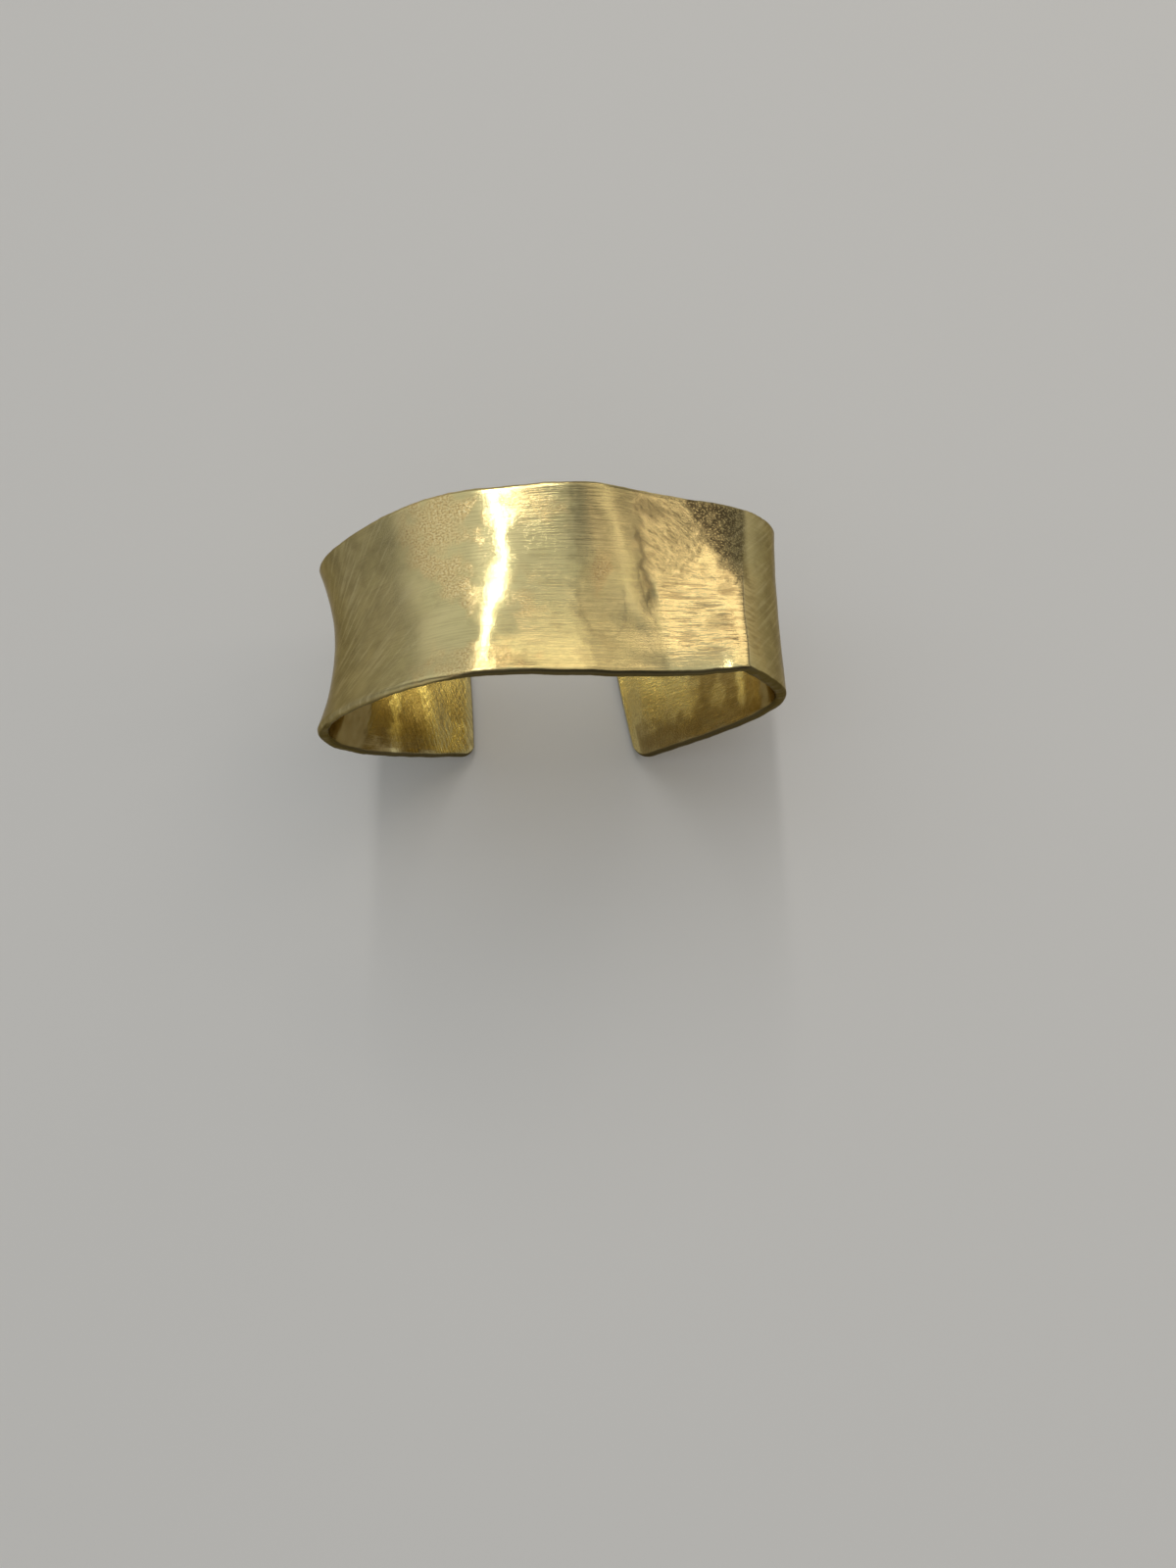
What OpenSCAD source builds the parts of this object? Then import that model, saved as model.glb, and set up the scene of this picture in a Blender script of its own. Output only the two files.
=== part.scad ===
// Open cuff bracelet: one strip of brass, hand bent round a wrist-sized stake and dished across its width.
// It stands on the edges of its two ends with the crown up. The wrist passes along Y, and the front rim is at -Y.
// The origin is at the centre of the footprint, on the surface that it stands on.

/* [Cuff] */
// Outside width across the widest part of the two arms
cuff_w = 62; // [52:1:76]
// Outside height from the tips of the arms to the top of the crown
cuff_h = 50; // [42:1:62]
// Clear distance between the two ends, at the front
end_gap = 24; // [18:1:30]

/* [Strip] */
// Width of the strip from rim to rim, at the crown
strip_w = 22.8; // [15:0.2:32]
// Thickness of the metal
metal_t = 1.5; // [1:0.1:2.5]
// Radius that softens every edge of the strip
edge_r = 0.5; // [0.2:0.1:0.8]
// Radius of the two corners of the left end, seen flat
corner_left = 2; // [1:0.2:6]
// Radius of the two corners of the right end, seen flat
corner_right = 3; // [1:0.2:6]

/* [Forming] */
// Depth of the hollow across the strip on the left wall
hollow_left = 2.1; // [0.2:0.1:3]
// Depth of the hollow across the strip at the crown
hollow_crown = 1.4; // [0.2:0.1:3]
// Depth of the hollow across the strip on the right wall
hollow_right = 0.3; // [0.2:0.1:3]

/* [Hidden] */

// The bends of each rim, from the left arm over the crown to the right arm. Each point is
// [share of half the width, share of the height, sway of the rim towards +Y in mm].
// The front rim has a sharp shoulder on the right, and the back rim slopes away from the crown.
FRONT_BENDS = [
    [-0.66, 0.16, 0.1], [-0.88, 0.31, -0.6], [-1.00, 0.47, -0.8], [-0.99, 0.64, -0.2],
    [-0.77, 0.81, 0], [-0.53, 0.95, 0], [-0.29, 1.02, 0], [-0.02, 0.985, 0],
    [0.22, 0.925, 0], [0.41, 0.885, 0], [0.56, 0.87, 0], [0.68, 0.87, 0], [0.775, 0.878, 0],
    [0.88, 0.755, 0], [1.01, 0.60, -0.1], [0.98, 0.46, -0.5], [0.81, 0.31, -1], [0.62, 0.16, -1.2]
];
BACK_BENDS = [
    [-0.66, 0.16, 0.2], [-0.87, 0.30, 0.4], [-0.99, 0.45, 0.5], [-0.95, 0.61, 0.2],
    [-0.74, 0.78, 0], [-0.51, 0.92, 0], [-0.28, 0.985, 0], [-0.02, 0.985, 0],
    [0.20, 0.99, 0], [0.36, 0.925, 0], [0.50, 0.87, 0], [0.65, 0.82, 0], [0.80, 0.77, 0],
    [0.93, 0.70, 0], [1.04, 0.58, 0], [1.00, 0.44, 0.2], [0.83, 0.30, 0.4], [0.61, 0.16, 0.3]
];
// Both ends sit this far to one side of the middle, in mm.
GAP_SHIFT = -0.8;
// Share of the metal's thickness that each end leans into the gap.
END_LEAN = 0.8;
// The right end is cut off the square, so its back corner reaches further into the gap.
RIGHT_END_SKEW = 3;
// How far the front corner of each end draws in, in mm: the left end is narrower and the right end flares.
LEFT_END_TAPER = 1.4;
RIGHT_END_TAPER = -1.2;
// The hollow flattens out towards both ends, to these shares of its depth on the walls.
LEFT_END_HOLLOW = 0.1;
RIGHT_END_HOLLOW = 1;

// Share of the rounding across the strip that is gone at the very ends, where the corners round too.
END_PINCH = 0.8;

STEPS_ALONG = 108;  // stations between the two rounded ends
STEPS_CORNER = 6;  // stations round each end's corners
STEPS_ACROSS = 10; // strips across each face
STEPS_EDGE = 3;    // facets round each softened edge
TABLE_STEPS = 240; // samples in the table of lengths

softening = min(edge_r, 0.45 * metal_t);

// A uniform cubic B-spline through padded control points, at u from 0 to the number of spans.
function weights(t) = [pow(1 - t, 3), 3 * t * t * t - 6 * t * t + 4,
                       -3 * t * t * t + 3 * t * t + 3 * t + 1, t * t * t] / 6;
function padded(p) = concat([2 * p[0] - p[1]], p, [2 * p[len(p) - 1] - p[len(p) - 2]]);
function curve(p, u) =
    let (i = min(floor(u), len(p) - 4), w = weights(u - i))
    w[0] * p[i] + w[1] * p[i + 1] + w[2] * p[i + 2] + w[3] * p[i + 3];
function unit(v) = v / norm(v);

// The spline's own extent sets the scale, so that the finished outline measures cuff_w by cuff_h.
function extent(bends, k, steps = 200) =
    [for (i = [0:steps]) curve(bends, i * (len(bends) - 3) / steps)[k]];
all_x = concat(extent(FRONT_BENDS, 0), extent(BACK_BENDS, 0));
all_z = concat(extent(FRONT_BENDS, 1), extent(BACK_BENDS, 1));
scale_x = cuff_w / (max(all_x) - min(all_x));
middle_x = (max(all_x) + min(all_x)) / 2;
scale_z = cuff_h / max(all_z);

function rim(bends, y, left_tip, right_tip) =
    padded(concat([left_tip],
                  [for (b = bends) [(b[0] - middle_x) * scale_x, y + b[2], b[1] * scale_z]],
                  [right_tip]));
front_y = -strip_w / 2;
back_y = strip_w / 2;
end_x = end_gap / 2 + END_LEAN * metal_t;
front = rim(FRONT_BENDS, front_y,
            [GAP_SHIFT - end_x, front_y + LEFT_END_TAPER, 0],
            [GAP_SHIFT + end_x, front_y + RIGHT_END_TAPER, 0]);
back = rim(BACK_BENDS, back_y,
           [GAP_SHIFT - end_x, back_y, 0],
           [GAP_SHIFT + end_x - RIGHT_END_SKEW, back_y, 0]);
spans = len(front) - 3;

// Distance along the middle of the strip against the spline's own parameter.
function middle(u) = (curve(front, u) + curve(back, u)) / 2;
steps_u = [for (i = [0:TABLE_STEPS]) i * spans / TABLE_STEPS];
lengths = [for (i = 0, s = 0; i <= TABLE_STEPS; i = i + 1,
                s = s + (i <= TABLE_STEPS ? norm(middle(steps_u[i]) - middle(steps_u[i - 1])) : 0)) s];
strip_length = lengths[TABLE_STEPS];
length_table = [for (i = [0:TABLE_STEPS]) [lengths[i], steps_u[i]]];

// Stations bunch up in the rounded ends and are even between them.
function end_steps(r) =
    concat([for (i = [0:STEPS_EDGE]) softening * (1 - cos(90 * i / STEPS_EDGE))],
           [for (i = [0:STEPS_CORNER]) let (d = r * (1 - cos(90 * i / STEPS_CORNER))) if (d > softening) d]);
even_length = strip_length - corner_left - corner_right;
even_steps = [for (i = [1:STEPS_ALONG - 1]) corner_left + i * even_length / STEPS_ALONG];
function backwards(list) = [for (i = [len(list) - 1:-1:0]) list[i]];
stations = concat(end_steps(corner_left), even_steps,
                  [for (d = backwards(end_steps(corner_right))) strip_length - d]);

// Depth of the hollow from the left end to the right end.
hollows = [LEFT_END_HOLLOW * hollow_left, hollow_left, hollow_crown, hollow_right,
           RIGHT_END_HOLLOW * hollow_right];
function eased(list, q) =
    let (i = min(floor(q), len(list) - 2), share = (1 - cos(180 * (q - i))) / 2)
    list[i] + (list[i + 1] - list[i]) * share;

// How far a quarter round of radius r has drawn in, at distance d from its end.
function drawn_in(r, d) = d >= r ? 0 : r - sqrt(r * r - (r - d) * (r - d));

// One ring round the strip: out over the outer face from the front rim, and back over the inner face.
// Each entry is [place across from -1 to 1, reach past the flat of the face, depth below the outer face].
function edge_arc(side, inner) =
    [for (i = [1:STEPS_EDGE])
     let (a = 90 * i / STEPS_EDGE, reach = softening * sin(a), depth = softening * (1 - cos(a)))
     [side, side * reach, inner ? metal_t - depth : depth]];
function across(depth) =
    [for (i = [0:STEPS_ACROSS]) [2 * i / STEPS_ACROSS - 1, 0, depth]];
half_ring = concat(backwards(edge_arc(-1, false)), across(0), edge_arc(1, false));
inner_half = concat(backwards(edge_arc(1, true)), backwards(across(metal_t)), edge_arc(-1, true));
ring = concat(half_ring, inner_half);

function ring_at(s) =
    let (u = lookup(s, length_table),
         f = curve(front, u), b = curve(back, u),
         step = spans / TABLE_STEPS,
         ahead = min(u + step, spans), behind = max(u - step, 0),
         tf = curve(front, ahead) - curve(front, behind),
         tb = curve(back, ahead) - curve(back, behind),
         d = min(s, strip_length - s),
         soft = drawn_in(softening, d),
         half = norm(b - f) / 2,
         corner = s < strip_length / 2 ? corner_left : corner_right,
         reach = half - drawn_in(corner, d) - softening,
         hollow = eased(hollows, s / strip_length * (len(hollows) - 1)))
    [for (p = ring)
     let (place = p[0] * reach + p[1] * (1 - END_PINCH * soft / softening),
          q = 0.5 + place / (2 * half),
          t = tf + (tb - tf) * q,
          outward = unit([-t[2], 0, t[0]]),
          depth = min(max(p[2], soft), metal_t - soft) + hollow * (1 - p[0] * p[0]))
     f + (b - f) * q - outward * depth];

rings = [for (s = stations) ring_at(s)];
raw_points = [for (r = rings) for (p = r) p];
low = [for (k = [0:2]) min([for (p = raw_points) p[k]])];
high = [for (k = [0:2]) max([for (p = raw_points) p[k]])];
base = [(low[0] + high[0]) / 2, (low[1] + high[1]) / 2, low[2]];

module cuff_band() {
    n = len(ring);
    last = (len(rings) - 1) * n;
    skin = [for (i = [0:len(rings) - 2]) for (j = [0:n - 1])
            let (a = i * n + j, b = i * n + (j + 1) % n)
            each [[a, b, b + n], [a, b + n, a + n]]];
    left_cap = [for (j = [0:n / 2 - 2])
                each [[j, n - 1 - j, n - 2 - j], [j, n - 2 - j, j + 1]]];
    right_cap = [for (t = left_cap) [t[0] + last, t[2] + last, t[1] + last]];
    color("goldenrod")
        translate(-base)
        polyhedron(raw_points, concat(skin, left_cap, right_cap));
}

cuff_band();
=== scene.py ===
"""An open cuff bracelet of hand-worked brass, standing on its two ends on a pale studio floor.

The band is worked out in millimetres and in strip coordinates: s runs along the strip from the left end,
and y runs across it, from the front rim (negative) to the back rim.
"""

import math
from types import SimpleNamespace

import bpy
import numpy as np
from mathutils import Matrix, Quaternion, Vector


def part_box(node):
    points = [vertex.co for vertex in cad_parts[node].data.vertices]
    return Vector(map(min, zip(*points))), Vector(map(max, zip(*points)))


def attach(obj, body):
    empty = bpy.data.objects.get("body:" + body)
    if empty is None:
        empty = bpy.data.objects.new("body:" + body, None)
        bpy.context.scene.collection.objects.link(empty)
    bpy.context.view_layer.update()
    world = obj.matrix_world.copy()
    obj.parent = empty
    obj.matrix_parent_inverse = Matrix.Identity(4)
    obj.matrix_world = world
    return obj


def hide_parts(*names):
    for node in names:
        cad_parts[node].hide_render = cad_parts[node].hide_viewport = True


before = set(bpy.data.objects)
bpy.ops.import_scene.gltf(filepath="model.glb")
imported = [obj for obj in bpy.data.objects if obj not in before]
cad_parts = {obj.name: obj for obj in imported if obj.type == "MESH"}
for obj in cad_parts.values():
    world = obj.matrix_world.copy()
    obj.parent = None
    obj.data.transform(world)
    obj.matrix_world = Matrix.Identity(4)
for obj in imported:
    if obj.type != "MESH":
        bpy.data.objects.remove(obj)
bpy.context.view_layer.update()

MM = 0.001

# The same sizes as the CAD model, in mm.
CUFF_W, CUFF_H, END_GAP = 62.0, 50.0, 24.0
STRIP_W, METAL_T, EDGE_R = 22.8, 1.5, 0.5
CORNER_LEFT, CORNER_RIGHT = 2.0, 3.0
GAP_SHIFT, END_LEAN, RIGHT_END_SKEW = -0.8, 0.8, 3.0
LEFT_END_TAPER, RIGHT_END_TAPER = 1.4, -1.2
# Depth of the hollow across the strip, from the left end to the right end.
HOLLOWS = np.array([0.21, 2.1, 1.4, 0.3, 0.3])
# The bends of each rim: (share of half the width, share of the height, sway of the rim in mm).
FRONT_BENDS = [
    (-0.66, 0.16, 0.1), (-0.88, 0.31, -0.6), (-1.00, 0.47, -0.8), (-0.99, 0.64, -0.2),
    (-0.77, 0.81, 0), (-0.53, 0.95, 0), (-0.29, 1.02, 0), (-0.02, 0.985, 0),
    (0.22, 0.925, 0), (0.41, 0.885, 0), (0.56, 0.87, 0), (0.68, 0.87, 0), (0.775, 0.878, 0),
    (0.88, 0.755, 0), (1.01, 0.60, -0.1), (0.98, 0.46, -0.5), (0.81, 0.31, -1), (0.62, 0.16, -1.2),
]
BACK_BENDS = [
    (-0.66, 0.16, 0.2), (-0.87, 0.30, 0.4), (-0.99, 0.45, 0.5), (-0.95, 0.61, 0.2),
    (-0.74, 0.78, 0), (-0.51, 0.92, 0), (-0.28, 0.985, 0), (-0.02, 0.985, 0),
    (0.20, 0.99, 0), (0.36, 0.925, 0), (0.50, 0.87, 0), (0.65, 0.82, 0), (0.80, 0.77, 0),
    (0.93, 0.70, 0), (1.04, 0.58, 0), (1.00, 0.44, 0.2), (0.83, 0.30, 0.4), (0.61, 0.16, 0.3),
]

# Mesh steps, in mm: the crown carries the finest hand work.
FINE_FROM, FINE_TO = 56.0, 114.0
FINE_STEP, PLAIN_STEP = 0.2, 0.34
STEPS_ACROSS, STEPS_EDGE, STEPS_CORNER = 76, 4, 10
END_PINCH = 0.8
UV_SPAN = 160.0  # mm of metal across the whole UV square, both ways


# ---- Noise and masks ------------------------------------------------------------------------------------


def hashed(ix, iy, seed):
    """A number from 0 to 1 for each lattice point."""
    h = (ix.astype(np.int64) * 374761393 + iy.astype(np.int64) * 668265263 + seed * 974634777) & 0x7FFFFFFF
    h = ((h ^ (h >> 13)) * 1274126177) & 0x7FFFFFFF
    return ((h ^ (h >> 16)) & 0xFFFF) / 65535.0


def noise(x, y, seed=0):
    """Smooth gradient noise, about -1 to 1, with features about 1 wide."""
    x, y = np.broadcast_arrays(np.asarray(x, float), np.asarray(y, float))
    ix, iy = np.floor(x), np.floor(y)
    fx, fy = x - ix, y - iy
    wx, wy = fx**3 * (fx * (fx * 6 - 15) + 10), fy**3 * (fy * (fy * 6 - 15) + 10)

    def corner(dx, dy):
        a = 2 * np.pi * hashed(ix + dx, iy + dy, seed)
        return np.cos(a) * (fx - dx) + np.sin(a) * (fy - dy)

    low = corner(0, 0) * (1 - wx) + corner(1, 0) * wx
    high = corner(0, 1) * (1 - wx) + corner(1, 1) * wx
    return 1.5 * (low * (1 - wy) + high * wy)


def layered(x, y, seed=0, layers=3):
    """Noise with finer and fainter layers on top."""
    return sum(noise(x * 2**k, y * 2**k, seed + 7 * k) * 0.5**k for k in range(layers))


def step(x, low, high):
    """0 below low, 1 above high, smooth between. With low above high it falls instead."""
    t = np.clip((x - low) / (high - low), 0, 1)
    return t * t * (3 - 2 * t)


def hump(distance, width):
    """1 at distance 0, falling away softly on both sides."""
    return np.exp(-((distance / width) ** 2))


def patch(s, y, centre, size, soft=0.5, ragged=0.0, seed=0):
    """1 inside an ellipse, falling to 0 at its edge over the share soft. ragged makes the edge uneven."""
    r = np.hypot((s - centre[0]) / size[0], (y - centre[1]) / size[1])
    if ragged:
        r = r + ragged * layered(s / 2.2, y / 2.2, seed)
    return step(r, 1, 1 - soft)


# ---- The strip's own shape ------------------------------------------------------------------------------


def padded(points):
    """The points and one more at each end, so that a curve starts on the first and ends on the last."""
    p = np.asarray(points, float)
    return np.vstack([2 * p[0] - p[1], p, 2 * p[-1] - p[-2]])


def curve(points, u):
    """A uniform cubic B-spline through padded control points."""
    i = np.minimum(np.floor(u).astype(int), len(points) - 4)
    t = (u - i)[:, None]
    return (
        (1 - t) ** 3 * points[i]
        + (3 * t**3 - 6 * t**2 + 4) * points[i + 1]
        + (-3 * t**3 + 3 * t**2 + 3 * t + 1) * points[i + 2]
        + t**3 * points[i + 3]
    ) / 6


def rim(bends, y, left_end, right_end):
    """One rim's control points in mm, from the left end to the right end."""
    b = np.array(bends, float)
    bent = np.c_[(b[:, 0] - middle_x) * scale_x, y + b[:, 2], b[:, 1] * scale_z]
    return padded(np.vstack([left_end, bent, right_end]))


def extents(bends):
    """Points on a rim's curve in the bends' own shares, from which the whole shape is scaled."""
    b = np.array(bends, float)
    return curve(b, np.linspace(0, len(b) - 3, 201))


both_rims = np.vstack([extents(FRONT_BENDS), extents(BACK_BENDS)])
scale_x = CUFF_W / np.ptp(both_rims[:, 0])
middle_x = (both_rims[:, 0].max() + both_rims[:, 0].min()) / 2
scale_z = CUFF_H / both_rims[:, 1].max()
front_y, back_y = -STRIP_W / 2, STRIP_W / 2
end_x = END_GAP / 2 + END_LEAN * METAL_T
front = rim(
    FRONT_BENDS,
    front_y,
    [GAP_SHIFT - end_x, front_y + LEFT_END_TAPER, 0],
    [GAP_SHIFT + end_x, front_y + RIGHT_END_TAPER, 0],
)
back = rim(
    BACK_BENDS,
    back_y,
    [GAP_SHIFT - end_x, back_y, 0],
    [GAP_SHIFT + end_x - RIGHT_END_SKEW, back_y, 0],
)
spans = len(front) - 3
table_u = np.linspace(0, spans, 2401)
middle_line = (curve(front, table_u) + curve(back, table_u)) / 2
table_s = np.r_[0, np.cumsum(np.linalg.norm(np.diff(middle_line, axis=0), axis=1))]
strip_length = table_s[-1]


def drawn_in(radius, d):
    """How far a quarter round has drawn in, at distance d from its end."""
    inside = np.clip(radius - d, 0, radius)
    return radius - np.sqrt(radius**2 - inside**2)


def hollow_at(s):
    """Depth of the hollow across the strip, in mm, at s along it."""
    q = np.clip(s / strip_length, 0, 1) * (len(HOLLOWS) - 1)
    i = np.minimum(np.floor(q).astype(int), len(HOLLOWS) - 2)
    share = (1 - np.cos(np.pi * (q - i))) / 2
    return HOLLOWS[i] + (HOLLOWS[i + 1] - HOLLOWS[i]) * share


def sheet(s, place, flat, depth):
    """Points at s along the strip and place mm from its middle line, depth mm under the outer face.
    flat is the same place held within the flat of the face, and sets how deep the hollow is there."""
    u = np.interp(s, table_s, table_u)
    f, b = curve(front, u), curve(back, u)
    ahead, behind = np.minimum(u + 0.02, spans), np.maximum(u - 0.02, 0)
    along_front = curve(front, ahead) - curve(front, behind)
    along_back = curve(back, ahead) - curve(back, behind)
    half = np.linalg.norm(b - f, axis=1) / 2
    q = (0.5 + place / (2 * half))[:, None]
    along = along_front + (along_back - along_front) * q
    outward = np.c_[-along[:, 2], np.zeros(len(s)), along[:, 0]]
    outward /= np.linalg.norm(outward, axis=1)[:, None]
    sunk = depth + hollow_at(s) * (1 - flat**2)
    return f + (b - f) * q - outward * sunk[:, None]


# ---- The hand work --------------------------------------------------------------------------------------

# The oval mark's brown outline and darker inside are painted shade around and in the dent.
OVAL_AT, OVAL_SIZE = (81.2, -2.4), (3.1, 5.2)  # the clearest hammer mark, which has a brown outline

# Hammer marks: (s, y), (half length, half width), depth in mm. A negative depth is a raised place.
HAMMER_MARKS = [
    (OVAL_AT, OVAL_SIZE, 0.09),
    ((74.0, 4.0), (4.5, 4.0), 0.07),
    ((74.5, -5.0), (4.0, 3.6), 0.05),
    ((60.0, 7.5), (4.6, 4.0), 0.06),
    ((57.5, 1.5), (4.5, 5.0), 0.08),
    ((50.0, -4.5), (5.5, 4.5), 0.08),
    ((47.0, 6.0), (5.5, 4.5), 0.06),
    ((60.0, -7.0), (4.0, 4.0), 0.05),
    ((95.6, -4.2), (2.5, 2.3), 0.07),
    ((90.0, -7.0), (3.4, 3.6), 0.04),
    ((92.0, 6.5), (3.0, 3.4), -0.05),
    ((106.0, -3.0), (4.0, 6.0), 0.05),
    ((34.0, 3.0), (6.0, 5.0), 0.10),
    ((24.0, -4.0), (5.5, 5.0), 0.10),
    ((12.0, 3.0), (5.0, 6.0), 0.10),
    ((9.0, -6.5), (4.5, 3.5), 0.09),
    ((117.0, 4.0), (5.0, 5.0), 0.10),
    ((126.0, -4.0), (4.5, 5.5), 0.11),
    ((136.0, 4.5), (5.0, 5.0), 0.09),
    ((143.0, -3.5), (4.0, 4.5), 0.08),
]

# Lines that run across the strip, as (y, s) from the front rim to the back rim. The crest's s is counted
# from CREST_AT.
CREST_LINE = [
    (-11, 0.2), (-9, -1.2), (-6.7, -0.8), (-4, 0.2), (-1.3, 0.9), (3.4, 1.3), (6, 0.6), (9, -0.7), (11, -1.3),
]
WAVY_LINE = [(-6, 86.4), (-3, 85.7), (0, 85.1), (3, 85.3), (6, 84.1), (8.5, 83.2), (11, 82.8)]
GROOVE_LINE = [(-3, 87.4), (0, 87.6), (2, 87.0), (4.5, 87.3), (8, 86.4)]
CREASE_LINE = [(-11, 99.3), (-7, 99.5), (-3, 99.8), (1, 100.1), (6, 100.8), (11, 101.5)]
CREST_AT = 68.6
TURN_PER_MM = 0.044  # how fast the crown's surface turns there, in radians
WAVY_HEIGHT, GROOVE_DEPTH, BEND_HEIGHT = 0.07, 0.055, 0.24
CREASE_FRONT, CREASE_BACK = 0.52, 0.06  # how far the crease stands out near each rim, in mm
RIPPLES_APART, LINES_APART, COLUMNS_APART = 1.0, 1.1, 7.5  # on the crown's right, and two kinds inside
RIM_WAVES, RIM_NICKS = 0.09, 0.035  # how far the filed rims wander, in mm


def line(y, points):
    return np.interp(y, *np.array(points).T)


def forging(s, y):
    """How far hammering moves the whole thickness outwards, in mm."""
    beside_crest = hump(s - CREST_AT, 6)
    moved = 0.05 * noise(s / 9, y / 7, 3) + 0.025 * noise(s / 4.5, y / 4, 4) * (1 - 0.9 * beside_crest)
    for centre, size, depth in HAMMER_MARKS:
        r = np.hypot((s - centre[0]) / size[0], (y - centre[1]) / size[1])
        moved = moved - depth * np.clip(1 - r**2, 0, None) ** 1.25
    # The crest of the crown wanders sideways, so the line of light on it does too.
    wander = line(y, CREST_LINE) + 0.35 * noise(y / 1.6, 0.5, 5)
    past_crest = s - CREST_AT - 0.4 * wander
    moved = moved + TURN_PER_MM * wander * past_crest * hump(past_crest, 3.2)
    past_wavy = s - line(y, WAVY_LINE) - 0.3 * noise(y / 2.5, 0.5, 6)
    moved = moved + WAVY_HEIGHT * hump(past_wavy, 1.2) * step(y, -7, -3)
    # A narrow groove runs beside the wavy band, along a gentle bend.
    past_groove = s - line(y, GROOVE_LINE) - 0.2 * noise(y / 1.2, 0.5, 7)
    moved = moved - GROOVE_DEPTH * hump(past_groove, 0.55) * step(y, -3, -1) * step(y, 7, 3.5)
    moved = moved + BEND_HEIGHT * np.exp(-np.hypot(past_groove, 1.2) / 5.0) * step(np.abs(y), 11.4, 8)
    # The crease at the right shoulder is sharp at the front and fades towards the back.
    past_crease = s - line(y, CREASE_LINE) - 0.2 * noise(y / 3, 0.5, 8)
    sharp = CREASE_BACK + (CREASE_FRONT - CREASE_BACK) * step(y, 5.5, 1.5)
    sharp = sharp * (1 - 0.35 * step(y, -8.0, -10.5))
    moved = moved + sharp * np.exp(-np.hypot(past_crease, 0.08) / 1.9)
    return moved


KINDS = ("grain", "ripple", "crinkle", "sparkle", "strokes")


def masks(s, y):
    """Where each kind of outer surface lies, each from 0 to 1."""
    ragged = layered(s / 1.8, y / 1.8, 10)
    from_diagonal = np.abs(y - 1.5 + 0.95 * (s - 62.5)) + 2.0 * ragged
    diagonal = step(from_diagonal, 4.2, 0.5) * step(s, 54, 58) * step(s, 67, 65)
    # Grain glitters in a slanting band left of the crest, and in patches by the rims and in the oval mark.
    grain = np.maximum.reduce([
        diagonal,
        patch(s, y, (61.5, 8.4), (6.6, 4.6), 0.7, 0.5, 11),
        0.8 * patch(s, y, (65.0, -10.0), (8.0, 3.0), 0.9, 0.6, 12),
        0.8 * patch(s, y, (81.3, 1.2), (2.0, 3.2), 0.9, 0.5, 13),
        0.5 * patch(s, y, (71.5, -2.0), (2.6, 4.4), 0.9, 0.6, 14),
        0.6 * patch(s, y, (74.0, 9.2), (5.5, 3.0), 0.9, 0.6, 15),
    ])
    # Right of the groove the metal is rippled at the front and crinkled at the back, with a sparkling corner
    # that painted shade darkens.
    ripple = step(s, 87.5, 89) * step(s, 105, 101) * step(y, -11.3, -8) * step(y + 0.8 * ragged, 4.0, 0.5)
    crinkle = step(s + ragged, 86.0, 88.0) * step(s, 100, 96) * step(y + 1.2 * ragged, -1.5, 1.5)
    slant_edge = s - 93.4 + 0.42 * (y - 10.5) + 0.9 * ragged
    sparkle = step(slant_edge, -0.3, 1.2) * step(s, 102.2, 100.6) * step(y + 1.2 * ragged, 0.2, 1.8)
    # Strong brush strokes cross the crown, with two short patches of them on the left slope.
    strokes = np.maximum.reduce([
        step(s + ragged, 70, 74) * step(s + 1.5 * ragged, 84, 79) * step(y, -10, -6),
        patch(s, y, (52.5, -6.5), (5.0, 2.6), 0.8, 0.5, 53),
        0.8 * patch(s, y, (48.0, -1.5), (4.0, 2.0), 0.8, 0.5, 54),
    ])
    return grain, ripple, crinkle, sparkle, strokes


def shading(s, y, sparkle):
    """How far painted shade darkens the outer face, from 0 to 1: in the groove, along the lap line, around
    and inside the oval mark, over the tan flat and in facets, under the back rim, and over the sparkling
    corner.
    """
    ragged = layered(s / 1.2, y / 1.2, 16)
    groove = hump(s - line(y, GROOVE_LINE) + 0.3 * ragged, 0.6) * step(y, -4, -2) * step(y, 8.5, 6)
    lap = hump(s - line(y, WAVY_LINE) - 1.2 + 0.15 * ragged, 0.22) * step(y, -7, -5) * step(y, 5, 2)
    tan_flat = step(s + 0.8 * ragged, 77.0, 79.5) * step(s + 0.3 * ragged, 88.4, 87.4)
    wavy = hump(s - line(y, WAVY_LINE), 1.1) * step(y, -6, -3)
    from_oval = np.hypot((s - OVAL_AT[0]) / OVAL_SIZE[0], (y - OVAL_AT[1]) / OVAL_SIZE[1]) + 0.08 * ragged
    # Each term is painted shade; the wavy band is kept mostly free of it, so it reads as a lighter band.
    return np.maximum.reduce([
        0.22 * hump(from_oval - 1, 0.12) + 0.40 * step(from_oval, 1.05, 0.9) * step(y, 4, -4),
        0.95 * sparkle * step(ragged, 0.6, 0.0) * step(y, 1.0, 4.5),
        0.68 * sparkle,
        0.75 * groove,
        0.55 * lap,
        0.40 * tan_flat * (1 - 0.85 * wavy),
        0.38 * patch(s, y, (95.6, -5.0), (2.7, 1.3), 0.5, 0.3, 18),
        0.40 * patch(s, y, (97.0, -0.6), (1.9, 1.2), 0.6, 0.4, 19),
        0.50 * patch(s, y, (89.0, 9.2), (3.6, 2.0), 0.7, 0.3, 20),
    ])


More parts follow.
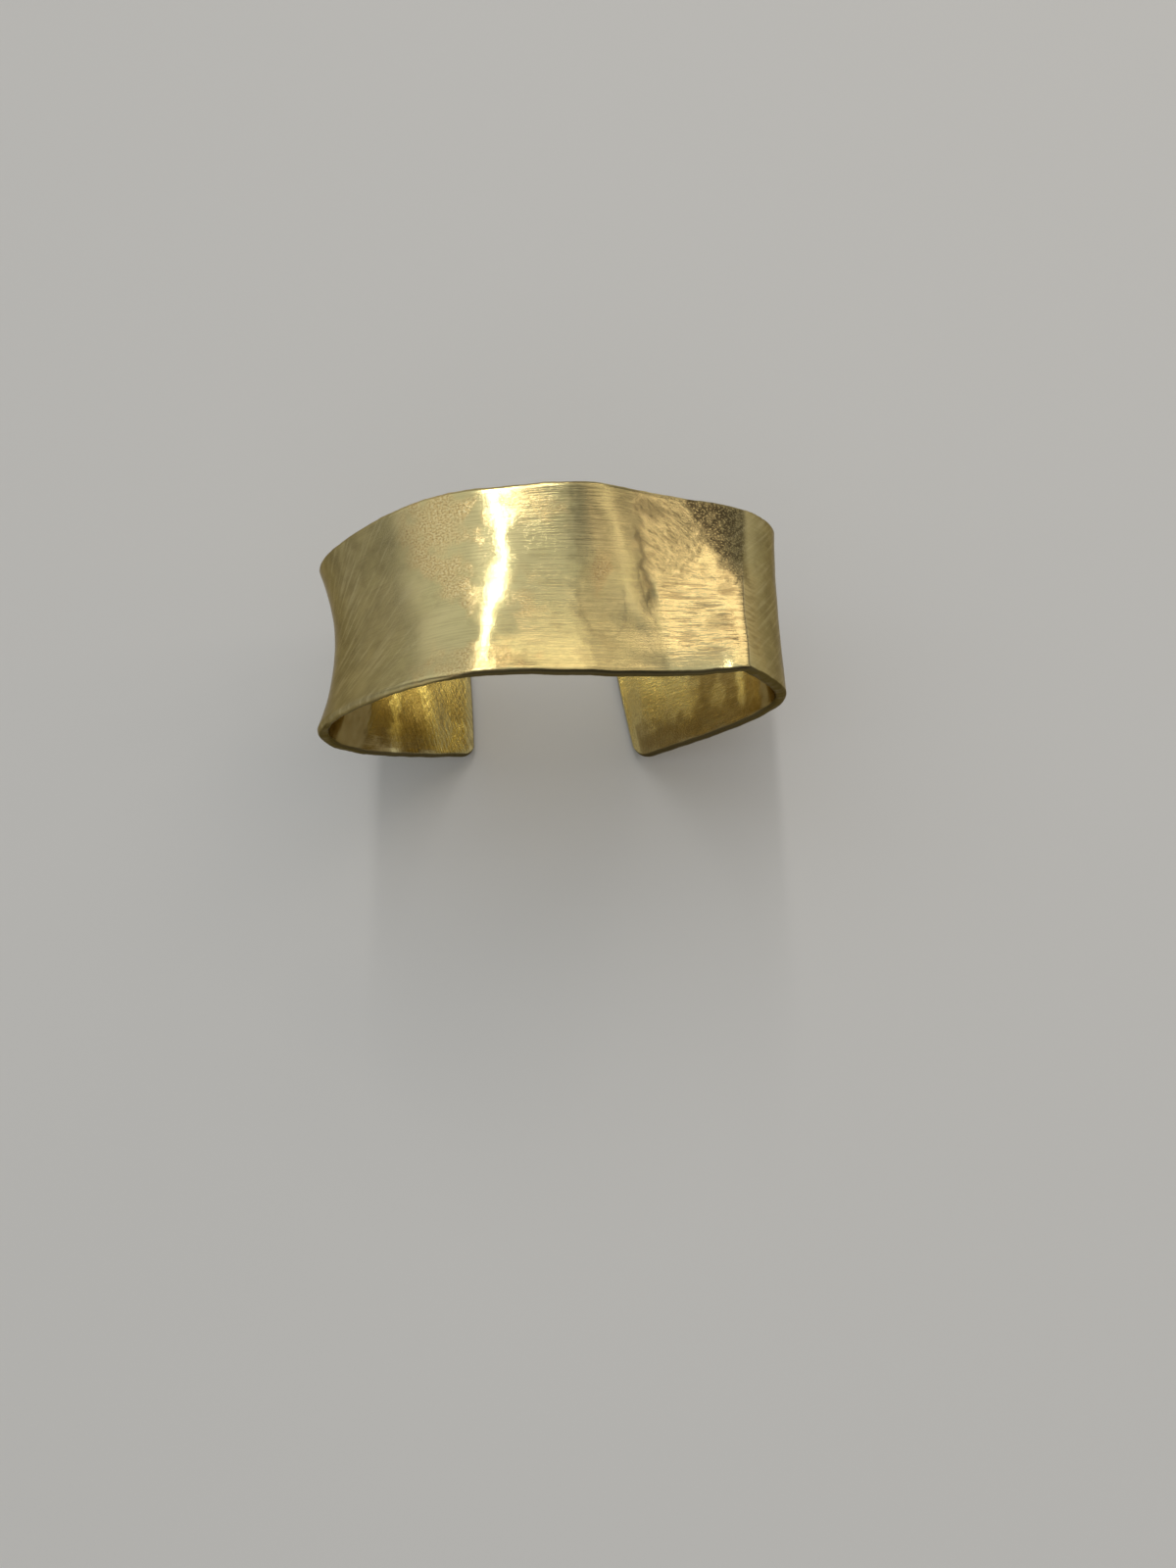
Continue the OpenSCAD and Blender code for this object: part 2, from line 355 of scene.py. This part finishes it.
def outer_work(s, y, kinds):
    """Fine relief of the outer face in mm. kinds are its masks."""
    grain, ripple, crinkle, sparkle, strokes = kinds
    bent_y = y + 0.5 * noise(s / 4.5, y / 3, 21) + 0.06 * (s - 97)
    waves = np.sin(2 * np.pi * bent_y / RIPPLES_APART) * (0.5 + 0.6 * noise(s / 2.2, y / 0.9, 22))
    bent_s = s / 1.1 + 0.6 * noise(s / 2, y / 2, 24)
    wrinkles = noise(bent_s, y / 1.3, 23) + 0.5 * noise(s / 0.7, y / 0.75, 29)
    flakes = noise((s + 0.7 * y) / 1.3, (y - 0.4 * s) / 0.8, 25) + 0.7 * noise(s / 0.62, y / 0.7, 30)
    return (
        0.018 * ripple * waves
        + 0.036 * crinkle * wrinkles
        - 0.045 * sparkle * np.abs(flakes)
        + 0.005 * grain * noise(s / 0.62, y / 0.66, 26)
        + 0.006 * strokes * noise(s / 2.6, y / 0.75, 32)
        + 0.008 * noise(s / 2.0, y / 1.8, 28)
        + 0.0030 * noise(s / 0.9, y / 0.8, 27)
    )


def patina(s, y):
    """How dark the sides are made, from 0 to 1, partly by tarnish and partly by painted shade: least on the
    crown, most down the sides and in the bends.
    """
    edge = s + 1.6 * noise(s / 5, y / 5, 45)
    left = 0.78 * step(edge, 61.5, 50) + 0.22 * step(edge, 48, 41)
    right = 0.40 * step(edge, 98, 102) + 0.60 * step(edge, 101, 108)
    return np.clip(np.maximum(left, right) * (0.94 + 0.16 * layered(s / 3.5, y / 3.0, 46)), 0, 1)


def painted_inner_light(s, y):
    """How much painted light the inner face gets, from 0 (painted shade) to 1 (painted reflections)."""
    ragged = layered(s / 1.6, y / 1.6, 51)
    # Painted reflections in a slanting band and a column near the left end, a ridge and a sandy area near the
    # right end, and
    #     then the left end's front corner, its last stretch, both tips, a patch, the crown and the back rim;
    #     painted shade elsewhere.
    slant_width = 1.5 + 0.35 * np.clip(-5 - y, 0, None)
    slanted = hump(s - 8.8 - 0.42 * (y + 5.4) + 0.5 * ragged, slant_width)
    column = 0.95 * hump(s - 16.0 + 0.9 * ragged, 1.1) * step(y, 3, -1)
    ridge = hump(s - 124.0 + 0.4 * ragged, 0.9) * step(y, -11, -8)
    sandy = 0.80 * step(s + ragged, 131, 135) * step(y + ragged, -9.6, -6.5)
    return np.maximum.reduce([
        slanted,
        column,
        ridge,
        sandy,
        0.95 * step(s, 8, 6) * step(y + ragged, -4.0, -6.5),
        0.42 * step(s, 11, 8),
        0.26 * step(s + ragged, 17, 13),
        0.85 * step(s, 2.1, 1.5),
        0.85 * step(s, 146.4, 147.2),
        0.55 * patch(s, y, (128.5, -6.5), (2.6, 3.0), 0.7, 0.4, 52),
        0.80 * step(s, 30, 44) * step(s, 114, 100),
        0.85 * step(y, 2, 6),
        0.10 + 0.08 * ragged,
    ])


def inner_work(s, y):
    """Fine relief of the inner face in mm, raised towards the wrist."""
    slant = s + 0.72 * y + 0.8 * noise(s / 5, y / 4, 31)
    waves = step(s, 26, 18) * np.sin(2 * np.pi * slant / LINES_APART)
    left_waves = waves * (0.6 + 0.5 * noise(s / 1.5, y / 3, 32))
    columns = np.sin(2 * np.pi * (s + 0.8 * noise(s / 6, y / 5, 33)) / COLUMNS_APART)
    pits = np.clip(layered(s / 0.7, y / 0.7, 34) - 0.2, 0, None)
    return (
        0.018 * left_waves
        + 0.045 * columns
        + 0.010 * layered(s / 0.9, y / 0.9, 35, 2)
        - 0.035 * step(s, 112, 118) * pits
        + 0.003 * noise(s / 5, y / 0.45, 36)
    )


# ---- Building the band ----------------------------------------------------------------------------------


def end_steps(radius):
    """Distances from an end at which its rounded edge and its rounded corner need a station."""
    turn = np.linspace(0, np.pi / 2, STEPS_EDGE + 1)
    corner = radius * (1 - np.cos(np.linspace(0, np.pi / 2, STEPS_CORNER + 1)))
    return np.r_[EDGE_R * (1 - np.cos(turn)), corner[corner > EDGE_R + 0.05]]


def stations():
    """Every s along the strip at which the mesh has a ring of points."""
    left, right = end_steps(CORNER_LEFT), strip_length - end_steps(CORNER_RIGHT)[::-1]
    pieces = [
        np.linspace(a, b, int(math.ceil((b - a) / gap)), endpoint=False)
        for a, b, gap in (
            (left[-1], FINE_FROM, PLAIN_STEP),
            (FINE_FROM, FINE_TO, FINE_STEP),
            (FINE_TO, right[0], PLAIN_STEP),
        )
    ]
    return np.r_[left[:-1], np.concatenate(pieces), right]


def ring():
    """The strip's cross-section, out over the outer face and back over the inner one, as rows of:
    place on the flat from -1 to 1, reach past the flat in mm, depth under the outer face in mm."""
    turn = np.linspace(0, np.pi / 2, STEPS_EDGE + 1)[1:]
    reach, fall = EDGE_R * np.sin(turn), EDGE_R * (1 - np.cos(turn))
    across = np.linspace(-1, 1, STEPS_ACROSS + 1)

    def edge(side, depth):
        return np.c_[np.full(STEPS_EDGE, side), side * reach, depth]

    def face(depth):
        return np.c_[across, 0 * across, 0 * across + depth]

    outer = np.vstack([edge(-1, fall)[::-1], face(0), edge(1, fall)])
    inner = np.vstack([edge(1, METAL_T - fall)[::-1], face(METAL_T)[::-1], edge(-1, METAL_T - fall)])
    return np.vstack([outer, inner])


def outer_normal(s, place, side, reach):
    """The outer face's true normal, by stepping along and across it."""
    small = 0.05
    along = sheet(s + small, place, side, 0 * s) - sheet(s - small, place, side, 0 * s)
    up = np.clip(side + small / np.maximum(reach, 1), -1, 1)
    down = np.clip(side - small / np.maximum(reach, 1), -1, 1)
    normal = np.cross(along, sheet(s, up * reach, up, 0 * s) - sheet(s, down * reach, down, 0 * s))
    return normal / np.linalg.norm(normal, axis=1)[:, None]


def worked_points(s, side, past, depth, d):
    """The band's points in mm after the hand work, and the place of each across the strip.
    d is each point's distance from the nearer end."""
    u = np.interp(s, table_s, table_u)
    half = np.linalg.norm(curve(back, u) - curve(front, u), axis=1) / 2
    soft = drawn_in(EDGE_R, d)
    corner = np.where(s < strip_length / 2, CORNER_LEFT, CORNER_RIGHT)
    reach = half - drawn_in(corner, d) - EDGE_R
    rough_rim = RIM_WAVES * noise(s / 3.2, side, 41) + RIM_NICKS * noise(s / 0.9, side, 42)
    rim_share = step(np.abs(side), 0.8, 1) * step(d, 0.5, 3)
    place = side * (reach + rough_rim * rim_share) + past * (1 - END_PINCH * soft / EDGE_R)
    points = sheet(s, place, side, np.clip(depth, soft, METAL_T - soft))

    on_face = (past == 0) * step(d, 0.4, 1.2) * step(np.abs(side), 1.0, 0.97)
    relief = np.where(depth < METAL_T / 2, outer_work(s, place, masks(s, place)), -inner_work(s, place))
    moved = forging(s, place) * step(d, 0, 6) + on_face * relief
    points = points + outer_normal(s, place, side, reach) * moved[:, None]

    low, high = points.min(0), points.max(0)
    box_low, box_high = (np.array(corner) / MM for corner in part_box("cuff_band"))
    return box_low + (points - low) * (box_high - box_low) / (high - low), place


def band_faces(n_s, n_r):
    """Four-sided faces between the rings and over the two ends, all facing outwards."""
    i, j = np.meshgrid(np.arange(n_s - 1), np.arange(n_r), indexing="ij")
    a, b = i * n_r + j, i * n_r + (j + 1) % n_r
    sides = np.stack([a, a + n_r, b + n_r, b], -1).reshape(-1, 4)
    cap = np.arange(n_r // 2 - 1)
    left_cap = np.stack([cap, cap + 1, n_r - 2 - cap, n_r - 1 - cap], -1)
    right_cap = left_cap[:, ::-1] + (n_s - 1) * n_r
    return np.vstack([sides, left_cap, right_cap])


def add_strip_uv(mesh, s, section, n_s):
    """A UV map in strip coordinates: along the strip, and around its cross-section."""
    n_r = len(section)
    around = np.linalg.norm(np.diff(section[:, :1] * STRIP_W / 2 + section[:, 1:2], axis=0), axis=1)
    around = np.r_[0, np.cumsum(np.maximum(around, 0.15))] + 1.0
    v_of = np.r_[around, around[-1] + 0.5]
    corners = np.empty(len(mesh.loops), int)
    mesh.loops.foreach_get("vertex_index", corners)
    face = np.repeat(np.arange(len(mesh.polygons)), 4)
    in_ring = corners % n_r
    closes_ring = (face < (n_s - 1) * n_r) & (face % n_r == n_r - 1) & (in_ring == 0)
    uv = np.c_[(s[corners] + 4) / UV_SPAN, v_of[np.where(closes_ring, n_r, in_ring)] / UV_SPAN]
    layer = mesh.uv_layers.new(name="strip")
    layer.uv.foreach_set("vector", uv.astype(np.float32).ravel())


def rims_dull_and_shaded(s, side, past, depth, d):
    """Where the rims and the ends are dull and darkened, from 0 to 1: partly a dull filed edge, partly
    painted shade, heaviest on the front rim.
    """
    # The front rim is dull and carries painted shade from this depth inwards, which leaves its outer edge
    # bright on the left slope.
    #     The back rim is dull only on its flat.
    dull_from = np.interp(s, (30, 40, 60, 66), (-0.1, 0.55, 0.55, -0.1))
    front_rim = step(depth, dull_from - 0.1, dull_from + 0.1)
    back_rim = step(depth, 0.3, 0.5) * step(depth, METAL_T - 0.2, METAL_T - 0.4)
    return np.maximum((past != 0) * np.where(side < 0, front_rim, back_rim), step(d, 0.35, 0.15))


def build_band():
    s_list, section = stations(), ring()
    n_s, n_r = len(s_list), len(section)
    s = np.repeat(s_list, n_r)
    side, past, depth = (np.tile(section[:, k], n_s) for k in range(3))
    d = np.minimum(s, strip_length - s)
    points, place = worked_points(s, side, past, depth, d)
    mesh = bpy.data.meshes.new("cuff_band_worked")
    mesh.from_pydata((points * MM).tolist(), [], band_faces(n_s, n_r).tolist())
    mesh.validate()
    add_strip_uv(mesh, s, section, n_s)

    inner = np.where(depth > METAL_T / 2, 1.0, 0.0)
    kinds = masks(s, place)
    # Some masks below carry painted light: the outer face's shade, the inner face's light and shade, and, in
    # part, the darkened sides and rims.
    for name, values in (
        *((name, kind * (1 - inner)) for name, kind in zip(KINDS, kinds)),
        ("shade", shading(s, place, kinds[KINDS.index("sparkle")]) * (1 - inner)),
        ("tone", painted_inner_light(s, place) * inner),
        ("sand", inner * step(s, 118, 128)),
        ("lines", inner * step(s, 24, 12)),
        ("patina", patina(s, place) * (1 - inner)),
        ("inner", inner),
        ("rims", rims_dull_and_shaded(s, side, past, depth, d)),
    ):
        attribute = mesh.attributes.new(name, "FLOAT", "POINT")
        attribute.data.foreach_set("value", np.asarray(values, np.float32))
    mesh.polygons.foreach_set("use_smooth", np.ones(len(mesh.polygons), bool))
    mesh.update()
    band = bpy.data.objects.new("cuff_band_worked", mesh)
    bpy.context.collection.objects.link(band)
    return band


# ---- Materials ------------------------------------------------------------------------------------------


class Nodes:
    """Short calls for building a node tree."""

    def __init__(self, tree):
        self.tree = tree

    def add(self, kind, values=None, **settings):
        node = self.tree.nodes.new(kind)
        for key, value in settings.items():
            setattr(node, key, value)
        for key, value in (values or {}).items():
            if hasattr(value, "is_output"):
                self.tree.links.new(value, node.inputs[key])
            else:
                node.inputs[key].default_value = value
        return node

    def attribute(self, name):
        return self.add("ShaderNodeAttribute", attribute_name=name).outputs["Fac"]

    def math(self, operation, a, b=0.0, clamp=False):
        return self.add("ShaderNodeMath", {0: a, 1: b}, operation=operation, use_clamp=clamp).outputs[0]

    def times(self, a, b):
        return self.math("MULTIPLY", a, b)

    def mix(self, share, a, b):
        node = self.add("ShaderNodeMix", {"Factor": share}, data_type="RGBA")
        for key, value in ((6, a), (7, b)):
            if hasattr(value, "is_output"):
                self.tree.links.new(value, node.inputs[key])
            else:
                node.inputs[key].default_value = value
        return node.outputs[2]

    def ranged(self, value, low, high, to_low=0.0, to_high=1.0, kind="LINEAR"):
        sockets = {"Value": value, "From Min": low, "From Max": high, "To Min": to_low, "To Max": to_high}
        return self.add("ShaderNodeMapRange", sockets, interpolation_type=kind).outputs[0]

    def sheared(self, vector, x_by_y, y_by_x):
        """Strip coordinates with each one leaning by a share of the other."""
        x = self.add("ShaderNodeVectorMath", {0: vector, 1: (1, x_by_y, 0)}, operation="DOT_PRODUCT")
        y = self.add("ShaderNodeVectorMath", {0: vector, 1: (y_by_x, 1, 0)}, operation="DOT_PRODUCT")
        return self.add("ShaderNodeCombineXYZ", {0: x.outputs["Value"], 1: y.outputs["Value"]}).outputs[0]

    def noise(self, vector, scale, detail=3.0, rough=0.55):
        """Noise on strip coordinates. scale is features per mm, along and across."""
        sized = self.add("ShaderNodeMapping", {"Vector": vector, "Scale": (scale[0], scale[1], 1)}).outputs[0]
        values = {"Vector": sized, "Scale": 1.0, "Detail": detail, "Roughness": rough}
        return self.add("ShaderNodeTexNoise", values, noise_dimensions="2D").outputs["Fac"]


EDGE_TINT = (0.66, 0.58, 0.42, 1)  # keeps faces seen edge on from going white

# Colours of the metal, as linear red, green, blue and alpha.
BRASS, BRASS_GREENER, BRUSHED_BROWN = (0.83, 0.69, 0.33, 1), (0.76, 0.65, 0.30, 1), (0.50, 0.41, 0.19, 1)
# The grain's light colour is painted glints on its high points, and its dark colour is painted shade in its
# pits.
GRAIN, GRAIN_GLINT, GRAIN_PIT_SHADE = (0.95, 0.66, 0.26, 1), (1.0, 0.84, 0.45, 1), (0.42, 0.30, 0.13, 1)
# The valley colour is painted shade in the valleys of the ripples and crinkles, and the darkest brown is
# painted shade.
GOLD, VALLEY_SHADE, SHADE_BROWN = (0.98, 0.77, 0.36, 1), (0.40, 0.29, 0.13, 1), (0.12, 0.09, 0.045, 1)
# The two inner colours are painted shade and painted light for the inner face.
RUBBED, INNER_SHADE, INNER_LIT = (0.98, 0.86, 0.50, 1), (0.33, 0.24, 0.095, 1), (1.0, 0.87, 0.43, 1)
# The side colour is partly painted shade down the sides, and the rim colour is partly painted shade on the
# rims.
TARNISH, PATINA_AND_SHADE, RIM_DULL_AND_SHADE = (0.42, 0.32, 0.14, 1), (0.30, 0.248, 0.125, 1), (0.105, 0.084, 0.04, 1)


def brass_masks(n):
    """The masks that the mesh carries, by name."""
    names = (*KINDS, "shade", "tone", "sand", "lines", "patina", "inner", "rims")
    return SimpleNamespace(**{name: n.attribute(name) for name in names})


def brass_textures(n):
    """Noise in strip coordinates, by what it stands for."""
    uv = n.add("ShaderNodeUVMap", uv_map="strip").outputs[0]
    mm = n.add("ShaderNodeVectorMath", {0: uv, 1: (UV_SPAN, UV_SPAN, 1)}, operation="MULTIPLY").outputs[0]
    return SimpleNamespace(
        broad=n.noise(mm, (0.09, 0.12), 4.0),
        cloudy=n.noise(mm, (0.35, 0.5), 5.0, 0.6),
        pebbly=n.noise(mm, (1.4, 1.4), 3.0),
        speckle=n.noise(mm, (3.4, 3.8), 3.0, 0.65),
        gritty=n.noise(mm, (3.2, 4.8), 4.0, 0.75),
        brush=n.noise(mm, (0.16, 5.0), 4.0, 0.6),
        fine_brush=n.noise(mm, (0.4, 14.0), 3.0, 0.6),
        rippled=n.noise(mm, (0.26, 2.1), 3.0, 0.5),
        crinkled=n.noise(n.sheared(mm, 0.3, 0.5), (1.1, 1.5), 4.0, 0.6),
        streaks=n.noise(n.sheared(mm, 0.0, -0.7), (0.14, 1.5), 4.0, 0.6),
        inner_lines=n.noise(n.sheared(mm, 0.42, 0.0), (3.0, 0.35), 3.0, 0.55),
    )


def outer_colour(n, m, t):
    """The outer face before the tarnish and painted shade of its sides. m holds the masks and t the textures.
    """
    colour = n.mix(n.ranged(t.broad, 0.35, 0.65), BRASS, BRASS_GREENER)
    colour = n.mix(n.ranged(t.brush, 0.45, 0.75, 0.0, 0.45), colour, BRUSHED_BROWN)
    colour = n.mix(n.times(m.grain, 0.8), colour, GRAIN)
    # Painted glints on the grain's high points and painted shade in its pits, over the grain's own orange
    # colour.
    colour = n.mix(n.times(m.grain, n.ranged(t.gritty, 0.50, 0.60)), colour, GRAIN_GLINT)
    colour = n.mix(n.times(m.grain, n.ranged(t.gritty, 0.48, 0.38, 0.0, 0.7)), colour, GRAIN_PIT_SHADE)
    colour = n.mix(n.times(n.math("MAXIMUM", m.ripple, m.crinkle), 0.7), colour, GOLD)
    # Painted shade in the valleys of the ripples and crinkles, where the bump is low.
    ripple_valley_shade = n.times(m.ripple, n.ranged(t.rippled, 0.52, 0.40, 0.0, 0.55))
    crinkle_valley_shade = n.times(m.crinkle, n.ranged(t.crinkled, 0.46, 0.34, 0.0, 0.45))
    colour = n.mix(n.math("MAXIMUM", ripple_valley_shade, crinkle_valley_shade), colour, VALLEY_SHADE)
    # Painted shade, in a near-black brown; on the sparkling corner's speckle peaks less of it is painted,
    # which leaves painted glints.
    glint_flecks = n.times(m.sparkle, n.ranged(t.speckle, 0.53, 0.63))
    shaded = n.times(m.shade, n.math("SUBTRACT", 1.0, n.times(glint_flecks, 0.75)))
    colour = n.mix(shaded, colour, SHADE_BROWN)
    return n.mix(n.times(m.patina, n.ranged(t.streaks, 0.48, 0.66, 0.0, 0.65)), colour, RUBBED)


def inner_colour(n, m, t):
    """The inner face: between a shaded and a lit brass as its painted light says, with painted shade in its
    lines and pits.
    """
    # Painted shade in the lines and pits, where the bump is low.
    line_shade = n.times(m.lines, n.ranged(t.inner_lines, 0.54, 0.42, 0.0, 0.5))
    pit_shade = n.times(m.sand, n.ranged(t.speckle, 0.52, 0.42, 0.0, 0.4))
    clear_of_shade = n.math("SUBTRACT", 1.0, n.math("MAXIMUM", line_shade, pit_shade))
    return n.mix(n.times(m.tone, clear_of_shade), INNER_SHADE, INNER_LIT)


def aged(n, m, t, colour):
    """The colour with tarnish in clouds, tarnish and painted shade down the sides, and dull rims darkened
    partly with painted shade.
    """
    tarnish = n.times(n.ranged(t.cloudy, 0.5, 0.75), n.ranged(t.broad, 0.42, 0.6))
    colour = n.mix(n.times(tarnish, 0.4), colour, TARNISH)
    clouds, worn = n.ranged(t.cloudy, 0.3, 0.7, 0.8, 1.0), n.ranged(t.streaks, 0.50, 0.70, 1.0, 0.72)
    # Tarnish and painted shade darken the sides.
    colour = n.mix(n.times(m.patina, n.times(clouds, worn)), colour, PATINA_AND_SHADE)
    # Dull rims and ends, darkened partly as a dull filed edge and partly with painted shade.
    return n.mix(n.times(m.rims, 0.96), colour, RIM_DULL_AND_SHADE)


def brass_roughness(n, m, t):
    rough = n.ranged(t.broad, 0.3, 0.7, 0.13, 0.19)
    for share, amount in (
        (n.math("MAXIMUM", m.grain, m.sparkle), 0.06),
        (n.ranged(t.brush, 0.3, 0.7, -0.5, 0.5), 0.08),
        (n.math("MAXIMUM", m.patina, m.sand), 0.09),
        (m.rims, 0.12),
    ):
        rough = n.math("ADD", rough, n.times(share, amount), clamp=True)
    return rough


def brass_height(n, m, t):
    """Relief too fine for the mesh, in units of the bump's distance."""
    height = n.math("ADD", t.brush, n.times(t.fine_brush, 0.5))
    height = n.math("ADD", height, n.times(t.pebbly, 1.2))
    for texture, mask, tall in (
        (t.gritty, m.grain, 3.0),
        (t.speckle, m.sparkle, 6.0),
        (t.rippled, m.ripple, 7.0),
        (t.crinkled, m.crinkle, 7.0),
        (t.brush, m.strokes, 4.0),
        (t.inner_lines, m.lines, 5.0),
        (t.speckle, m.sand, 5.0),
    ):
        height = n.math("ADD", height, n.times(n.times(texture, tall), mask))
    return height


def brass():
    material = bpy.data.materials.new("worked_brass")
    material.use_nodes = True
    tree = material.node_tree
    tree.nodes.clear()
    n = Nodes(tree)
    m, t = brass_masks(n), brass_textures(n)
    colour = n.mix(m.inner, outer_colour(n, m, t), inner_colour(n, m, t))
    bump_values = {"Height": brass_height(n, m, t), "Strength": 0.6, "Distance": 0.012 * MM}
    shader = n.add(
        "ShaderNodeBsdfPrincipled",
        {
            "Base Color": aged(n, m, t, colour),
            "Metallic": 1.0,
            "Specular Tint": EDGE_TINT,
            "Roughness": brass_roughness(n, m, t),
            "Normal": n.add("ShaderNodeBump", bump_values).outputs[0],
            "Tangent": n.add("ShaderNodeTangent", direction_type="UV_MAP", uv_map="strip").outputs[0],
            "Anisotropic": 0.5,
            "Anisotropic Rotation": 0.25,
        },
    )
    out = n.add("ShaderNodeOutputMaterial")
    tree.links.new(shader.outputs[0], out.inputs["Surface"])
    return material


def floor_material():
    material = bpy.data.materials.new("pale_floor")
    material.use_nodes = True
    shader = material.node_tree.nodes["Principled BSDF"]
    shader.inputs["Base Color"].default_value = (0.74, 0.73, 0.71, 1)
    shader.inputs["Roughness"].default_value = 0.75
    shader.inputs["Specular IOR Level"].default_value = 0.3
    return material


band = build_band()
band.data.materials.append(brass())
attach(band, "root")
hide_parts("cuff_band")

# ---- Studio ---------------------------------------------------------------------------------------------

FLOOR_HALF = 12.0  # metres
LAMP_DISTANCE = 1.1  # metres
LAMPS_FACE = Vector((0, 0, 0.04))
WARM, COOL, NEUTRAL = (1.0, 0.89, 0.76), (0.90, 0.96, 1.0), (1.0, 0.98, 0.95)

floor_mesh = bpy.data.meshes.new("floor")
floor_corners = [(x * FLOOR_HALF, y * FLOOR_HALF, 0) for x, y in ((-1, -1), (1, -1), (1, 1), (-1, 1))]
floor_mesh.from_pydata(floor_corners, [], [(0, 1, 2, 3)])
floor_mesh.materials.append(floor_material())
floor = bpy.data.objects.new("floor", floor_mesh)
bpy.context.collection.objects.link(floor)


def towards(azimuth, elevation):
    """The direction at these angles in degrees. azimuth runs from +X towards +Y."""
    a, e = math.radians(azimuth), math.radians(elevation)
    return Vector((math.cos(a) * math.cos(e), math.sin(a) * math.cos(e), math.sin(e)))


def softbox(name, azimuth, elevation, wide, high, brightness, colour, roll=0.0):
    """A soft rectangular light that faces the band. Angles are in degrees, seen from the band:
    wide and high are how much of the view it fills, and roll turns it clockwise as the band sees it."""
    light = bpy.data.lights.new(name, "AREA")
    light.shape = "RECTANGLE"
    light.size = 2 * LAMP_DISTANCE * math.tan(math.radians(wide / 2))
    light.size_y = 2 * LAMP_DISTANCE * math.tan(math.radians(high / 2))
    # Watts for each unit of brightness: a flat light gives about a quarter of its watts per square metre.
    light.energy, light.color = 4 * brightness * light.size * light.size_y, colour
    away = towards(azimuth, elevation)
    holder = bpy.data.objects.new(name, light)
    holder.location = LAMPS_FACE + away * LAMP_DISTANCE
    rolled = Quaternion((0, 0, 1), math.radians(roll))
    holder.rotation_euler = (away.to_track_quat("Z", "Y") @ rolled).to_euler()
    holder.visible_camera = False
    bpy.context.collection.objects.link(holder)


softbox("strip_lamp", 97, 61, 2.8, 58, 9.0, NEUTRAL, -11)
for elevation, brightness in ((38, 1.5), (46, 1.9)):
    softbox("right_softbox", 57, elevation, 40, 4, brightness, WARM)
softbox("low_softbox", 47, 26, 24, 15, 0.95, WARM)
for azimuth, brightness in ((-10, 0.45), (4, 0.85), (18, 0.75)):
    softbox("side_softbox", azimuth, 38, 7, 40, brightness, WARM)
softbox("front_fill", -90, 50, 50, 30, 0.30, NEUTRAL)

# The room's own light by height, from straight down to straight up, and its soft glows: the angles
# that each one faces, where it starts to fade and where it ends, in degrees, and how bright it is.
SKY = [(-1.0, 0.20), (0.0, 0.30), (0.1, 0.33), (0.25, 0.20), (0.4, 0.12), (0.72, 0.14), (1.0, 0.16)]
GLOWS = [((150, 47), 12, 56, 0.50), ((50, 73), 14, 32, 0.41)]

world = bpy.data.worlds.new("studio")
bpy.context.scene.world = world
world.use_nodes = True
world.node_tree.nodes.clear()
w = Nodes(world.node_tree)
direction = w.add("ShaderNodeTexCoord").outputs["Generated"]
height = w.add("ShaderNodeSeparateXYZ", {0: direction}).outputs["Z"]
ramp = w.add("ShaderNodeValToRGB", {"Fac": w.ranged(height, -1, 1)})
elements = ramp.color_ramp.elements
while len(elements) < len(SKY):
    elements.new(0.5)
for element, (up, grey) in zip(elements, SKY):
    element.position = (up + 1) / 2
    element.color = (grey, grey * 0.99, grey * 0.965, 1)
sky = ramp.outputs["Color"]
for faces, inner_angle, outer_angle, brightness in GLOWS:
    centre = tuple(towards(*faces))
    facing = w.add("ShaderNodeVectorMath", {0: direction, 1: centre}, operation="DOT_PRODUCT")
    fade_from, fade_to = (math.cos(math.radians(angle)) for angle in (outer_angle, inner_angle))
    glow = w.ranged(facing.outputs["Value"], fade_from, fade_to, 0.0, brightness, "SMOOTHSTEP")
    tinted = w.add("ShaderNodeVectorMath", {0: glow, 1: COOL}, operation="MULTIPLY").outputs[0]
    sky = w.add("ShaderNodeVectorMath", {0: sky, 1: tinted}, operation="ADD").outputs[0]
background = w.add("ShaderNodeBackground", {"Color": sky, "Strength": 1.0})
world_out = w.add("ShaderNodeOutputWorld")
world.node_tree.links.new(background.outputs[0], world_out.inputs["Surface"])
bpy.context.scene.view_settings.view_transform = "Standard"

# ---- Camera ---------------------------------------------------------------------------------------------

CAMERA_AT = Vector((1.3, -47.9, 176.8)) * MM
LENS, SENSOR = 27.05, 36.0  # mm
VIEW_AHEAD = Vector((0.0143, 0.1817, -0.9833))
VIEW_UP = Vector((0.0772, 0.9802, 0.1822))
ahead = VIEW_AHEAD.normalized()
across = ahead.cross(VIEW_UP).normalized()
upright = across.cross(ahead)
camera_data = bpy.data.cameras.new("camera")
camera_data.lens, camera_data.sensor_width = LENS, SENSOR
camera_data.clip_start, camera_data.clip_end = 0.005, 50.0
camera = bpy.data.objects.new("camera", camera_data)
camera.matrix_world = Matrix(
    [(*[v[k] for v in (across, upright, -ahead)], CAMERA_AT[k]) for k in range(3)] + [(0, 0, 0, 1)]
)
bpy.context.collection.objects.link(camera)
bpy.context.scene.camera = camera
